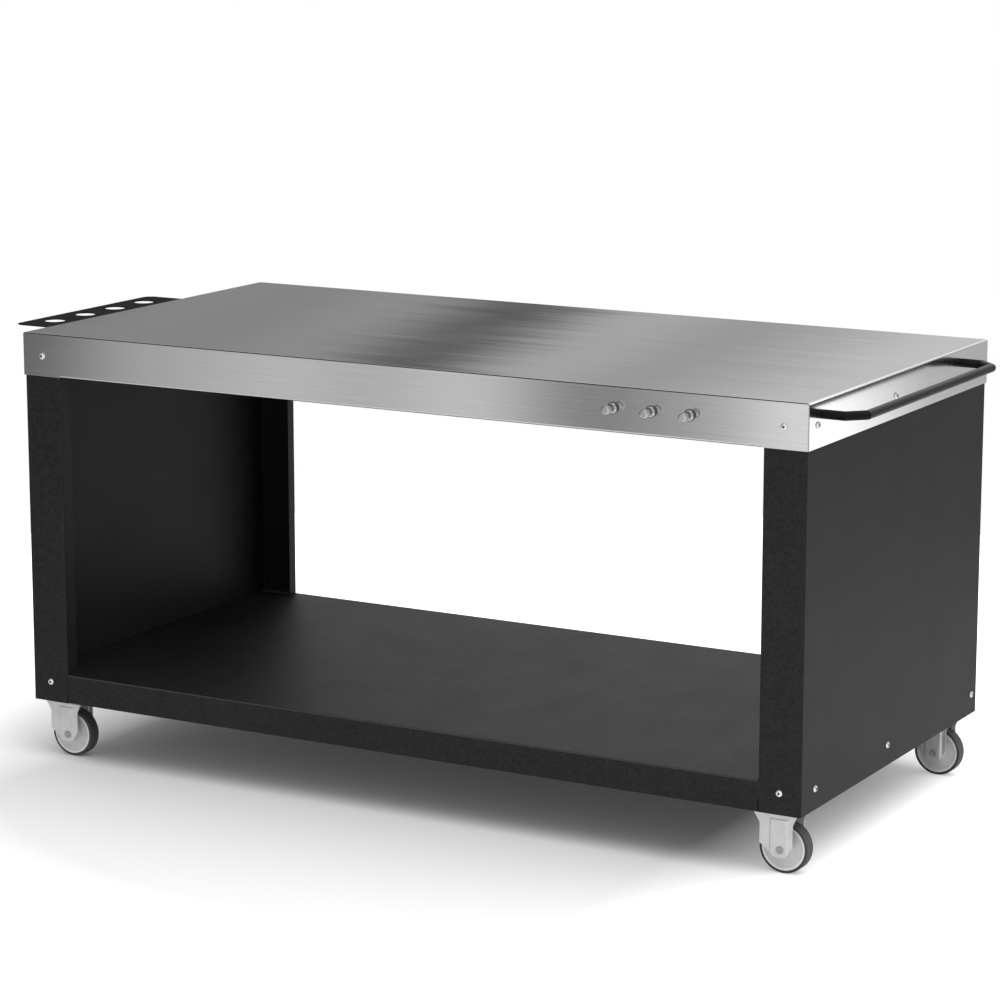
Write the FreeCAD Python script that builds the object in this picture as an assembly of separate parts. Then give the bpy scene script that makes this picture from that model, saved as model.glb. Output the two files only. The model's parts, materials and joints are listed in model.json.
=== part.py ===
import FreeCAD, Part
import math
import os

# Outdoor pizza oven table: a folded stainless worktop on two black side casings, a lower shelf
# between them, four swivel castors, a push handle at one end and a tool rack at the other.
# Millimetres, +Z up. The origin is on the floor under the middle of the worktop,
# +X points to the handle end and +Y to the back.

V = FreeCAD.Vector

# Overall
TOP_LENGTH = 1600.0
TOP_DEPTH = 800.0
TOP_HEIGHT = 820.0
APRON = 80.0
CASTOR_HEIGHT = 115.0
SHELF_HEIGHT = 170.0

# Sheet thicknesses and bends
TOP_SHEET = 1.5
CASING_SHEET = 2.0
CHANNEL_SHEET = 2.5
BEND = 3.0
HEM = 15.0
HEM_BEND = 4.0
SEAM = 0.6

# Side casings, which stand just inside the worktop's aprons
CASING_GAP_X = 2.6
CASING_GAP_Y = 2.5
CASING_GAP_Z = 0.1
FLANGE = 79.4
FRONT_RETURN = 30.0
REAR_RETURN = 24.0
BASE_FLANGE = 107.4

# Stiffeners under the worktop and the shelf
HAT_WIDTH = 60.0
HAT_BRIM = 20.0
TOP_HAT_DEPTH = 30.0
TOP_HAT_Y = (-250.0, 0.0, 250.0)
TOP_HAT_LENGTH = 1400.0
SHELF_HAT_DEPTH = 35.0
SHELF_HAT_Y = (-130.0, 130.0)
SHELF_HAT_LENGTH = 1370.0

# Button head screws and their nuts
SCREW_R = 3.0
HEAD_R = 6.2
HEAD_H = 3.4
SOCKET_FLATS = 4.0
SOCKET_DEPTH = 2.0
SCREW_LENGTH = 12.0
NUT_FLATS = 10.0
NUT_H = 5.5
HOLE_PLAY = 0.3
THREAD_PLAY = 0.05
APRON_FRONT_SCREW_X = 756.0
APRON_FRONT_SCREW_Z = 778.0
APRON_SIDE_SCREW_Z = 779.0
APRON_RIGHT_SCREW_Y = (-363.0, -33.0, 363.0)
APRON_LEFT_SCREW_Y = (-363.0, 363.0)
CASING_FRONT_SCREW_X = 757.5
CASING_SCREW_Z = 153.0
CASING_SIDE_SCREW_Y = (-342.0, -30.0, 370.0)

# Hook pegs on the front apron
PEG_X = (440.0, 512.0, 584.0)
PEG_Z = 782.5
PEG_REACH = 30.0
PEG_COLLAR_R = 10.5
PEG_COLLAR_H = 4.0
PEG_NECK_R = 5.0
PEG_HEAD_R = 8.0
PEG_HEAD_H = 8.0
PEG_EDGE = 1.5

# Push handle
HANDLE_R = 8.0
HANDLE_WALL = 1.8
HANDLE_Z = 792.0
HANDLE_Y = (-331.0, 284.0)
HANDLE_KNEE = 34.0
HANDLE_REACH = 62.0
PLUG_LENGTH = 20.0
BACKING_SIZE = 40.0
BACKING_THICK = 3.0
HANDLE_BOLT_LENGTH = 24.0
HANDLE_BOLT_HEAD_R = 5.0
HANDLE_BOLT_HEAD_H = 6.0

# Tool rack
RACK_TOP = 806.0
RACK_SHEET = 1.5
RACK_REACH = 137.5
RACK_Y = (-248.0, 196.0)
RACK_CORNER = 20.0
RACK_DROP = 36.0
RACK_HOLE_R = 20.0
RACK_HOLE_REACH = 95.0
RACK_HOLE_FIRST = -174.0
RACK_HOLE_PITCH = 98.3
RACK_HOLES = 4
RACK_SCREW_Y = (-196.0, -33.0, 144.0)

# Castors
CASTOR_X = (-752.0, 738.0)
CASTOR_Y = 344.0
TRAIL = 10.0
WHEEL_R = 45.0
RIM_R = 40.0
TREAD_WIDTH = 26.0
TREAD_EDGE = 3.0
KEY_R = 38.0
KEY_WIDTH = 8.0
RIM_FACE = 25.0
RIM_FACE_R = 36.0
DISH_WIDTH = 21.0
DISH_R = 34.0
HUB_R = 15.0
HUB_WIDTH = 44.0
HUB_FLARE = 3.0
BUSH_R = 6.0
AXLE_R = 4.0
RUNNING = 0.05
AXLE_HEAD_R = 7.0
AXLE_HEAD_H = 2.4
AXLE_DIMPLE_R = 3.2
AXLE_DIMPLE_H = 1.2

FORK_SHEET = 2.5
FORK_WIDTH = 50.0
FORK_TOP = 108.5
CROWN_HALF = 39.0
LEG_BACK = -29.0
LEG_FRONT = 32.0
SHOULDER_Z = 104.5
WAIST_Z = 89.0
BACK_CORNER_Z = 53.0
FRONT_CORNER_Z = 52.0
FOOT_Z = 32.0
FOOT_BACK = -1.0
FOOT_FRONT = 21.0
FORK_BEND = 4.0
EMBOSS = 2.0
EMBOSS_X = (-11.0, 25.0)
EMBOSS_SLOPE = 4.0
EMBOSS_TOP_Z = 98.0

BALL_R = 2.0
BALLS = 16
BALL_RING_R = 19.5
BALL_Z = 110.5
GROOVE_PLAY = 0.15
RACE_IN_R = 14.0
RACE_OUT_R = 24.5
LOWER_RACE_TOP = 109.8
CAP_R = 27.0
CAP_SKIRT = 1.5
CAP_FACE_Z = 111.2
CAP_SKIRT_Z = 109.3
KINGPIN_R = 6.0
KINGPIN_HEAD_R = 11.0
KINGPIN_HEAD_H = 4.0
STEM_TOP = 132.0
STEM_NUT_FLATS = 19.0
STEM_NUT_H = 10.0

# Worked out from the above
HALF_LENGTH = TOP_LENGTH / 2
HALF_DEPTH = TOP_DEPTH / 2
APRON_BOTTOM = TOP_HEIGHT - APRON
TOP_UNDERSIDE = TOP_HEIGHT - TOP_SHEET
CASING_X = HALF_LENGTH - CASING_GAP_X
CASING_Y = HALF_DEPTH - CASING_GAP_Y
CASING_TOP = TOP_UNDERSIDE - CASING_GAP_Z
FLANGE_X = CASING_X - FLANGE
CASING_INNER_X = CASING_X - CASING_SHEET
CASING_INNER_Y = CASING_Y - CASING_SHEET
BASE_EDGE_X = CASING_X - BASE_FLANGE
BASE_TOP = CASTOR_HEIGHT + CASING_SHEET
SHELF_UNDERSIDE = SHELF_HEIGHT - TOP_SHEET
CORNERS = {"front_left": (0, -1), "front_right": (1, -1), "rear_left": (0, 1), "rear_right": (1, 1)}


def box(x0, x1, y0, y1, z0, z1):
    return Part.makeBox(x1 - x0, y1 - y0, z1 - z0, V(x0, y0, z0))


def rod(radius, start, direction, length):
    return Part.makeCylinder(radius, length, start, direction)


def ring(outer, inner, z0, z1):
    return rod(outer, V(0, 0, z0), V(0, 0, 1), z1 - z0).cut(
        rod(inner, V(0, 0, z0), V(0, 0, 1), z1 - z0))


def face_from(points):
    return Part.Face(Part.makePolygon(points + points[:1]))


def turned(profile):
    """A solid of revolution about Z from (radius, height) points in order."""
    return face_from([V(r, 0, z) for r, z in profile]).revolve(V(0, 0, 0), V(0, 0, 1), 360)


def hexagon(flats, z0, z1):
    radius = flats / math.sqrt(3)
    angles = [math.radians(60 * i) for i in range(6)]
    outline = [V(radius * math.cos(a), radius * math.sin(a), z0) for a in angles]
    return face_from(outline).extrude(V(0, 0, z1 - z0))


def soften(shape, radius, direction, chosen):
    """Fillet the straight edges along a direction, or along any, whose middle point is chosen."""
    edges = []
    for edge in shape.Edges:
        ends = [vertex.Point for vertex in edge.Vertexes]
        if len(ends) < 2 or not isinstance(edge.Curve, Part.Line):
            continue
        along = (ends[1] - ends[0]).normalize()
        if direction and abs(along.dot(direction)) < 0.999:
            continue
        if chosen((ends[0] + ends[1]) * 0.5):
            edges.append(edge)
    return shape.makeFillet(radius, edges)


def stand_on(shape, seat, outward):
    """Turn a piece made along +Z so that it points outward, and put its origin on the seat."""
    piece = shape.copy()
    turn = FreeCAD.Rotation(V(0, 0, 1), outward)
    piece.Placement = FreeCAD.Placement(seat, turn)
    return piece


def group(pieces):
    return Part.makeCompound(pieces)


def mirrored(shape, normal):
    return shape.mirror(V(0, 0, 0), normal)


def near(value, target):
    return abs(value - target) < 0.01


def drill(shape, seats, radius, depth):
    """Cut round holes inwards from (seat, outward direction) pairs."""
    for seat, outward in seats:
        start = seat + outward * depth
        shape = shape.cut(rod(radius, start, outward * -1, 2 * depth))
    return shape


def front_and_back(x, y, z):
    """Seats on the front and the back, at both ends, for a screw on the outer face at depth y."""
    return [(V(side * x, end * y, z), V(0, end, 0)) for end in (-1, 1) for side in (-1, 1)]


def on_end(side, x, ys, z):
    return [(V(side * x, y, z), V(side, 0, 0)) for y in ys]


def apron_seats():
    return (front_and_back(APRON_FRONT_SCREW_X, HALF_DEPTH, APRON_FRONT_SCREW_Z)
            + on_end(1, HALF_LENGTH, APRON_RIGHT_SCREW_Y, APRON_SIDE_SCREW_Z)
            + on_end(-1, HALF_LENGTH, APRON_LEFT_SCREW_Y, APRON_SIDE_SCREW_Z))


def casing_seats():
    return (front_and_back(CASING_FRONT_SCREW_X, CASING_Y, CASING_SCREW_Z)
            + on_end(1, CASING_X, CASING_SIDE_SCREW_Y, CASING_SCREW_Z)
            + on_end(-1, CASING_X, CASING_SIDE_SCREW_Y, CASING_SCREW_Z))


def rack_seats():
    return on_end(-1, HALF_LENGTH + RACK_SHEET, RACK_SCREW_Y, APRON_SIDE_SCREW_Z)


def handle_seats():
    return on_end(1, HALF_LENGTH, HANDLE_Y, HANDLE_Z)


def peg_seats():
    return [(V(x, -HALF_DEPTH, PEG_Z), V(0, -1, 0)) for x in PEG_X]


def worktop():
    """One folded sheet with ground corners: the top, four aprons and a hem under the long ones."""
    shell = box(-HALF_LENGTH, HALF_LENGTH, -HALF_DEPTH, HALF_DEPTH, APRON_BOTTOM, TOP_HEIGHT)
    inside_x = HALF_LENGTH - TOP_SHEET
    inside_y = HALF_DEPTH - TOP_SHEET
    hollow = box(-inside_x, inside_x, -inside_y, inside_y, APRON_BOTTOM - 1, TOP_UNDERSIDE)
    shell = soften(shell, BEND, None, lambda p: p.z > APRON_BOTTOM + 1)
    hollow = soften(hollow, BEND - TOP_SHEET, None, lambda p: p.z > APRON_BOTTOM)
    shell = shell.cut(hollow)
    front = hem()
    for piece in (front, mirrored(front, V(0, 1, 0))):
        bounds = piece.BoundBox
        room = box(bounds.XMin, bounds.XMax, bounds.YMin, bounds.YMax, bounds.ZMin - 1, bounds.ZMax)
        shell = shell.cut(room).fuse(piece)
    seats = apron_seats() + peg_seats() + handle_seats() + rack_seats()
    return drill(shell.removeSplitter(), seats, SCREW_R + HOLE_PLAY, 3 * TOP_SHEET)


def hem():
    """The front apron's foot between the casings, bent inwards."""
    half = FLANGE_X - 2.0
    rise = HEM_BEND + 1.0
    outer = box(-half, half, -HALF_DEPTH, HEM - HALF_DEPTH, APRON_BOTTOM, APRON_BOTTOM + rise)
    outer = soften(outer, HEM_BEND, V(1, 0, 0),
                   lambda p: near(p.y, -HALF_DEPTH) and near(p.z, APRON_BOTTOM))
    inner = box(-half - 1, half + 1, TOP_SHEET - HALF_DEPTH, HEM - HALF_DEPTH + 1,
                APRON_BOTTOM + TOP_SHEET, APRON_BOTTOM + 2 * rise)
    inner = soften(inner, HEM_BEND - TOP_SHEET, V(1, 0, 0),
                   lambda p: near(p.y, TOP_SHEET - HALF_DEPTH) and near(p.z, APRON_BOTTOM + TOP_SHEET))
    return outer.cut(inner)


def side_casing():
    """The right-hand casing: an upright folded channel, open inwards, closed at top and bottom."""
    upright = V(0, 0, 1)
    outer = box(FLANGE_X, CASING_X, -CASING_Y, CASING_Y, CASTOR_HEIGHT, CASING_TOP)
    outer = soften(outer, BEND, upright, lambda p: True)
    inner = box(FLANGE_X + CASING_SHEET, CASING_INNER_X, -CASING_INNER_Y, CASING_INNER_Y,
                BASE_TOP, CASING_TOP - CASING_SHEET)
    inner = soften(inner, BEND - CASING_SHEET, upright, lambda p: True)
    mouth = box(FLANGE_X - 1, FLANGE_X + CASING_SHEET + 1, FRONT_RETURN - CASING_Y,
                CASING_Y - REAR_RETURN, BASE_TOP, CASING_TOP - CASING_SHEET)
    base = box(BASE_EDGE_X, FLANGE_X + BEND, -CASING_INNER_Y + SEAM, CASING_INNER_Y - SEAM,
               CASTOR_HEIGHT, BASE_TOP)
    return outer.cut(inner).cut(mouth).fuse(base)


def finish_casing(casing, side):
    seats = [seat for seat in apron_seats() + casing_seats() + rack_seats() + handle_seats()
             if seat[0].x * side > 0]
    casing = drill(casing, seats, SCREW_R + HOLE_PLAY, 8 * TOP_SHEET)
    stems = [(V(CASTOR_X[side > 0], end * CASTOR_Y, BASE_TOP), V(0, 0, 1)) for end in (-1, 1)]
    return drill(casing, stems, KINGPIN_R + HOLE_PLAY, 3 * CASING_SHEET)


def base_channel(side):
    """A downward-open box inside the casing's foot. It carries the shelf and stiffens the castors."""
    inner_x = FLANGE_X + CASING_SHEET + 1.0
    shell = box(inner_x, CASING_INNER_X, -CASING_INNER_Y, CASING_INNER_Y, BASE_TOP, SHELF_UNDERSIDE)
    shell = soften(shell, BEND, V(0, 0, 1), lambda p: True)
    hollow = box(inner_x + CHANNEL_SHEET, CASING_INNER_X - CHANNEL_SHEET,
                 CHANNEL_SHEET - CASING_INNER_Y, CASING_INNER_Y - CHANNEL_SHEET,
                 BASE_TOP - 1, SHELF_UNDERSIDE - CHANNEL_SHEET)
    shell = shell.cut(hollow)
    if side < 0:
        shell = mirrored(shell, V(1, 0, 0))
    seats = [seat for seat in casing_seats() if seat[0].x * side > 0]
    return drill(shell, seats, SCREW_R + HOLE_PLAY, 4 * CHANNEL_SHEET)


def shelf():
    """The lower tray: its ends run into the casings, its long edges turn down as lips."""
    lip_x = FLANGE_X - 0.5
    panel = box(-CASING_INNER_X, CASING_INNER_X, FRONT_RETURN - CASING_Y + 0.5,
                CASING_Y - REAR_RETURN - 0.5, SHELF_UNDERSIDE, SHELF_HEIGHT)
    tray = box(-lip_x, lip_x, -CASING_Y, CASING_Y, CASTOR_HEIGHT, SHELF_HEIGHT)
    tray = soften(tray, BEND, V(1, 0, 0), lambda p: True)
    inside_y = CASING_Y - TOP_SHEET
    hollow = box(-lip_x - 1, lip_x + 1, -inside_y, inside_y, CASTOR_HEIGHT + TOP_SHEET, SHELF_UNDERSIDE)
    hollow = soften(hollow, BEND - TOP_SHEET, V(1, 0, 0), lambda p: True)
    tray = tray.cut(hollow)
    hem_y = CASING_Y - HEM
    tray = tray.cut(box(-lip_x - 1, lip_x + 1, -hem_y, hem_y, CASTOR_HEIGHT - 1, SHELF_UNDERSIDE))
    for side in (-1, 1):
        xs = sorted((side * (BASE_EDGE_X - 1), side * (lip_x + 1)))
        foot = CASTOR_HEIGHT + BEND
        notch = box(xs[0], xs[1], -inside_y, inside_y, CASTOR_HEIGHT - 1, foot)
        tray = tray.cut(notch)
    return tray.fuse(panel).removeSplitter()


def hat_stiffener(y, top, depth, length):
    """A top-hat channel along X, spot welded by its brims to the sheet above it."""
    half = length / 2
    crown = HAT_WIDTH / 2
    brim = crown + HAT_BRIM
    sheet = TOP_SHEET
    outline = [V(-half, y - brim, top), V(-half, y - crown + sheet, top),
               V(-half, y - crown + sheet, top - depth + sheet),
               V(-half, y + crown - sheet, top - depth + sheet),
               V(-half, y + crown - sheet, top), V(-half, y + brim, top),
               V(-half, y + brim, top - sheet), V(-half, y + crown, top - sheet),
               V(-half, y + crown, top - depth), V(-half, y - crown, top - depth),
               V(-half, y - crown, top - sheet), V(-half, y - brim, top - sheet)]
    return face_from(outline).extrude(V(length, 0, 0))


def button_screw(length):
    """Head towards +Z with its underside at the origin, domed, with a hexagon socket."""
    rise = Part.Arc(V(HEAD_R, 0, 0.4), V(HEAD_R * 0.8, 0, HEAD_H * 0.72), V(HEAD_R * 0.4, 0, HEAD_H))
    outline = Part.makePolygon([V(HEAD_R * 0.4, 0, HEAD_H), V(0, 0, HEAD_H), V(0, 0, -length),
                                V(SCREW_R, 0, -length), V(SCREW_R, 0, 0), V(HEAD_R, 0, 0),
                                V(HEAD_R, 0, 0.4)])
    wire = Part.Wire([rise.toShape()] + outline.Edges)
    body = Part.Face(wire).revolve(V(0, 0, 0), V(0, 0, 1), 360)
    return body.cut(hexagon(SOCKET_FLATS, HEAD_H - SOCKET_DEPTH, HEAD_H + 1))


def nut(flats, bore, height):
    """A hexagon nut whose bearing face is at the origin and whose body lies below it."""
    corner = ring(flats / math.sqrt(3) + 0.01, bore, -height, 0)
    crown = turned([(0, 0), (flats / 2 + 0.2, 0), (flats / 2 + 0.9, -0.5),
                    (flats / 2 + 0.9, 0.5 - height), (flats / 2 + 0.2, -height), (0, -height)])
    return hexagon(flats, -height, 0).common(corner).common(crown)


def screws_on(seats, length=SCREW_LENGTH):
    screw = button_screw(length)
    return group([stand_on(screw, seat, outward) for seat, outward in seats])


def nuts_behind(seats, stack):
    """Nuts on the shanks, a sheet stack's thickness behind the screw heads."""
    piece = nut(NUT_FLATS, SCREW_R + THREAD_PLAY, NUT_H)
    return group([stand_on(piece, seat - outward * stack[abs(outward.x) > 0.5], outward)
                  for seat, outward in seats])


def hook_peg(x):
    """A turned peg: collar against the apron, waisted neck, round head, threaded shank behind."""
    neck_end = PEG_REACH - PEG_HEAD_H
    shank = SCREW_LENGTH
    dip = Part.Arc(V(PEG_NECK_R + 1.5, 0, PEG_COLLAR_H), V(PEG_NECK_R, 0, neck_end / 2 + 2),
                   V(PEG_NECK_R + 1.0, 0, neck_end))
    before = Part.makePolygon([V(0, 0, PEG_REACH), V(0, 0, -shank), V(SCREW_R, 0, -shank),
                               V(SCREW_R, 0, 0), V(PEG_COLLAR_R, 0, 0),
                               V(PEG_COLLAR_R, 0, PEG_COLLAR_H - 1),
                               V(PEG_COLLAR_R - 1, 0, PEG_COLLAR_H),
                               V(PEG_NECK_R + 1.5, 0, PEG_COLLAR_H)])
    after = Part.makePolygon([V(PEG_NECK_R + 1.0, 0, neck_end), V(PEG_HEAD_R - PEG_EDGE, 0, neck_end)])
    cheek = Part.Arc(V(PEG_HEAD_R - PEG_EDGE, 0, neck_end),
                     V(PEG_HEAD_R, 0, neck_end + PEG_HEAD_H * 0.45),
                     V(PEG_HEAD_R - PEG_EDGE, 0, PEG_REACH))
    cap = Part.makePolygon([V(PEG_HEAD_R - PEG_EDGE, 0, PEG_REACH), V(0, 0, PEG_REACH)])
    wire = Part.Wire(before.Edges + [dip.toShape()] + after.Edges + [cheek.toShape()] + cap.Edges)
    body = Part.Face(wire).revolve(V(0, 0, 0), V(0, 0, 1), 360)
    return stand_on(body, V(x, -HALF_DEPTH, PEG_Z), V(0, -1, 0))


def handle_line():
    """The tube's centre line: out from the apron, round two mitred knees and along the end."""
    knee = HALF_LENGTH + HANDLE_KNEE
    reach = HALF_LENGTH + HANDLE_REACH
    step = HANDLE_REACH - HANDLE_KNEE
    near_y, far_y = HANDLE_Y
    return Part.makePolygon([V(HALF_LENGTH, near_y, HANDLE_Z), V(knee, near_y, HANDLE_Z),
                             V(reach, near_y + step, HANDLE_Z), V(reach, far_y - step, HANDLE_Z),
                             V(knee, far_y, HANDLE_Z), V(HALF_LENGTH, far_y, HANDLE_Z)])


def swept(line, radius):
    """A round bar along a line of straight runs, with its corners mitred."""
    circle = Part.Wire(Part.makeCircle(radius, V(HALF_LENGTH, HANDLE_Y[0], HANDLE_Z), V(1, 0, 0)))
    mitred = 1
    return line.makePipeShell([circle], True, False, mitred)


def handle_bar():
    line = handle_line()
    return swept(line, HANDLE_R).cut(swept(line, HANDLE_R - HANDLE_WALL))


def handle_end_plugs():
    """Threaded plugs welded into the tube's two ends."""
    plug = ring(HANDLE_R - HANDLE_WALL, SCREW_R + THREAD_PLAY, 0, PLUG_LENGTH)
    return group([stand_on(plug, seat, outward) for seat, outward in handle_seats()])


def handle_backing_plates():
    half = BACKING_SIZE / 2
    face = CASING_INNER_X
    plates = [box(face - BACKING_THICK, face, y - half, y + half, HANDLE_Z - half, HANDLE_Z + half)
              for y in HANDLE_Y]
    seats = on_end(1, face, HANDLE_Y, HANDLE_Z)
    return group([drill(plate, seats, SCREW_R + HOLE_PLAY, 2 * BACKING_THICK) for plate in plates])


def handle_bolts():
    """Socket bolts from inside the casing into the plugs."""
    bolt = rod(SCREW_R, V(0, 0, 0), V(0, 0, 1), HANDLE_BOLT_LENGTH).fuse(
        rod(HANDLE_BOLT_HEAD_R, V(0, 0, -HANDLE_BOLT_HEAD_H), V(0, 0, 1), HANDLE_BOLT_HEAD_H))
    bolt = bolt.cut(hexagon(SOCKET_FLATS, -HANDLE_BOLT_HEAD_H - 1, -HANDLE_BOLT_HEAD_H / 2))
    seat_x = CASING_INNER_X - BACKING_THICK
    return group([stand_on(bolt, V(seat_x, y, HANDLE_Z), V(1, 0, 0)) for y in HANDLE_Y])


def tool_rack():
    """A bent plate with round holes, screwed to the apron through its down-turned edge."""
    inner = -HALF_LENGTH
    outer = inner - RACK_REACH
    y0, y1 = RACK_Y
    plate = box(outer, inner, y0, y1, RACK_TOP - RACK_SHEET, RACK_TOP)
    plate = soften(plate, RACK_CORNER, V(0, 0, 1), lambda p: near(p.x, outer))
    drop = box(inner - RACK_SHEET, inner, y0, y1, RACK_TOP - RACK_DROP, RACK_TOP)
    rack = plate.fuse(drop).removeSplitter()
    rack = soften(rack, BEND, V(0, 1, 0), lambda p: near(p.x, inner) and near(p.z, RACK_TOP))
    rack = soften(rack, BEND - RACK_SHEET, V(0, 1, 0),
                  lambda p: near(p.x, inner - RACK_SHEET) and near(p.z, RACK_TOP - RACK_SHEET))
    for i in range(RACK_HOLES):
        centre = V(inner - RACK_HOLE_REACH, RACK_HOLE_FIRST + i * RACK_HOLE_PITCH, 0)
        rack = rack.cut(rod(RACK_HOLE_R, centre, V(0, 0, 1), TOP_HEIGHT))
    return drill(rack, rack_seats(), SCREW_R + HOLE_PLAY, 2 * RACK_SHEET)


def fork_side(width):
    """The fork's side view, as a solid of the given width."""
    outline = [(-CROWN_HALF, FORK_TOP), (-CROWN_HALF, SHOULDER_Z), (LEG_BACK, WAIST_Z),
               (LEG_BACK, BACK_CORNER_Z), (FOOT_BACK, FOOT_Z), (FOOT_FRONT, FOOT_Z),
               (LEG_FRONT, FRONT_CORNER_Z), (LEG_FRONT, WAIST_Z), (CROWN_HALF, SHOULDER_Z),
               (CROWN_HALF, FORK_TOP)]
    solid = face_from([V(x, -width / 2, z) for x, z in outline]).extrude(V(0, width, 0))
    for radius, level in ((8.0, WAIST_Z), (3.0, BACK_CORNER_Z), (8.0, FRONT_CORNER_Z), (9.0, FOOT_Z)):
        solid = soften(solid, radius, V(0, 1, 0), lambda p, level=level: near(p.z, level))
    return solid


def fork():
    """A pressed U: flat crown with the lower ball race, and two legs widening under the crown."""
    half = FORK_WIDTH / 2
    inner = half - FORK_SHEET
    block = soften(fork_side(FORK_WIDTH), FORK_BEND, V(1, 0, 0), lambda p: near(p.z, FORK_TOP))
    gap = box(-CROWN_HALF - 1, CROWN_HALF + 1, -inner, inner, 0, FORK_TOP - FORK_SHEET)
    gap = soften(gap, FORK_BEND - FORK_SHEET, V(1, 0, 0), lambda p: near(p.z, FORK_TOP - FORK_SHEET))
    body = block.cut(gap)
    limits = fork_side(FORK_WIDTH + 2 * EMBOSS)
    for end in (-1, 1):
        body = body.fuse(emboss(end, half).common(limits)).cut(emboss(end, inner))
    body = body.cut(rod(AXLE_R + RUNNING, V(TRAIL, -2 * half, WHEEL_R), V(0, 1, 0), 4 * half))
    race = ring(RACE_OUT_R, RACE_IN_R, FORK_TOP - 0.5, LOWER_RACE_TOP)
    body = body.fuse(race).cut(rod(KINGPIN_R + RUNNING, V(0, 0, 0), V(0, 0, 1), TOP_HEIGHT))
    return body.cut(ball_groove()).removeSplitter()


def emboss(end, face):
    """The raised panel of a leg around the axle, standing proud of the given face."""
    back, front = EMBOSS_X
    foot = FOOT_Z - 1.0
    points = [V(back, end * face, foot), V(back + EMBOSS_SLOPE, end * (face + EMBOSS), foot),
              V(front - EMBOSS_SLOPE, end * (face + EMBOSS), foot), V(front, end * face, foot)]
    return face_from(points).extrude(V(0, 0, EMBOSS_TOP_Z - foot))


def ball_groove():
    return Part.makeTorus(BALL_RING_R, BALL_R + GROOVE_PLAY, V(0, 0, BALL_Z))


def top_cap():
    """The upper ball race, with a skirt that keeps dirt off the balls."""
    cap = ring(CAP_R, KINGPIN_R + RUNNING, CAP_SKIRT_Z, CASTOR_HEIGHT)
    cap = cap.cut(ring(CAP_R - CAP_SKIRT, KINGPIN_R, CAP_SKIRT_Z - 1, CAP_FACE_Z))
    rim = [edge for edge in cap.Edges
           if near(edge.BoundBox.ZMin, CASTOR_HEIGHT) and near(edge.BoundBox.XMax, CAP_R)]
    return cap.makeFillet(1.0, rim).cut(ball_groove())


def balls():
    ring_of = []
    for i in range(BALLS):
        angle = 2 * math.pi * i / BALLS
        centre = V(BALL_RING_R * math.cos(angle), BALL_RING_R * math.sin(angle), BALL_Z)
        ring_of.append(Part.makeSphere(BALL_R, centre))
    return group(ring_of)


def kingpin():
    """The rivet that holds the crown to the cap, carried up as the threaded stem."""
    under = FORK_TOP - FORK_SHEET - 2 * RUNNING
    return turned([(0, STEM_TOP), (0, under - KINGPIN_HEAD_H), (KINGPIN_HEAD_R - 2, under - KINGPIN_HEAD_H),
                   (KINGPIN_HEAD_R, under - KINGPIN_HEAD_H + 2), (KINGPIN_HEAD_R, under), (KINGPIN_R, under),
                   (KINGPIN_R, STEM_TOP - 1), (KINGPIN_R - 1, STEM_TOP)])


def laid_on_axle(shape):
    """Turn a piece made about Z so that it lies about the wheel's axis."""
    return stand_on(shape, V(TRAIL, 0, WHEEL_R), V(0, 1, 0))


def bush():
    reach = FORK_WIDTH / 2 - FORK_SHEET + EMBOSS
    return laid_on_axle(ring(BUSH_R, AXLE_R + RUNNING, -reach, reach))


def axle():
    """The riveted wheel axle, with a low round head and a dimple at each end."""
    face = FORK_WIDTH / 2 + EMBOSS
    end = face + AXLE_HEAD_H
    half = [(0, end - AXLE_DIMPLE_H), (AXLE_DIMPLE_R - 0.8, end - AXLE_DIMPLE_H), (AXLE_DIMPLE_R, end),
            (AXLE_HEAD_R - 1, end), (AXLE_HEAD_R, end - 1), (AXLE_HEAD_R, face), (AXLE_R, face)]
    return laid_on_axle(turned(half + [(r, -z) for r, z in reversed(half)]))


def wheel():
    """The moulded disc: hub, slightly dished sides and a raised rim with a groove for the tyre."""
    bore = BUSH_R + RUNNING
    half = [(bore, HUB_WIDTH / 2), (HUB_R - 1, HUB_WIDTH / 2), (HUB_R, HUB_WIDTH / 2 - 1),
            (HUB_R, DISH_WIDTH / 2 + HUB_FLARE), (HUB_R + HUB_FLARE, DISH_WIDTH / 2),
            (DISH_R, DISH_WIDTH / 2), (RIM_FACE_R, RIM_FACE / 2 - 0.3), (RIM_FACE_R + 0.6, RIM_FACE / 2),
            (RIM_R - 0.6, RIM_FACE / 2), (RIM_R, RIM_FACE / 2 - 0.6), (RIM_R, KEY_WIDTH / 2),
            (KEY_R, KEY_WIDTH / 2)]
    return laid_on_axle(turned(half + [(r, -h) for r, h in reversed(half)]))


def tyre():
    """The rubber tread band, keyed into the rim's groove, with rounded shoulders."""
    side = TREAD_WIDTH / 2
    key = KEY_WIDTH / 2
    start = Part.makePolygon([V(WHEEL_R, 0, TREAD_EDGE - side), V(WHEEL_R, 0, side - TREAD_EDGE)])
    bow = TREAD_EDGE * (1 - math.sqrt(0.5))
    top = Part.Arc(V(WHEEL_R, 0, side - TREAD_EDGE), V(WHEEL_R - bow, 0, side - bow),
                   V(WHEEL_R - TREAD_EDGE, 0, side))
    inside = Part.makePolygon([V(WHEEL_R - TREAD_EDGE, 0, side), V(RIM_R, 0, side), V(RIM_R, 0, key),
                               V(KEY_R, 0, key), V(KEY_R, 0, -key), V(RIM_R, 0, -key),
                               V(RIM_R, 0, -side), V(WHEEL_R - TREAD_EDGE, 0, -side)])
    low = Part.Arc(V(WHEEL_R - TREAD_EDGE, 0, -side), V(WHEEL_R - bow, 0, bow - side),
                   V(WHEEL_R, 0, TREAD_EDGE - side))
    wire = Part.Wire(start.Edges + [top.toShape()] + inside.Edges + [low.toShape()])
    return laid_on_axle(Part.Face(wire).revolve(V(0, 0, 0), V(0, 0, 1), 360))


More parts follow.
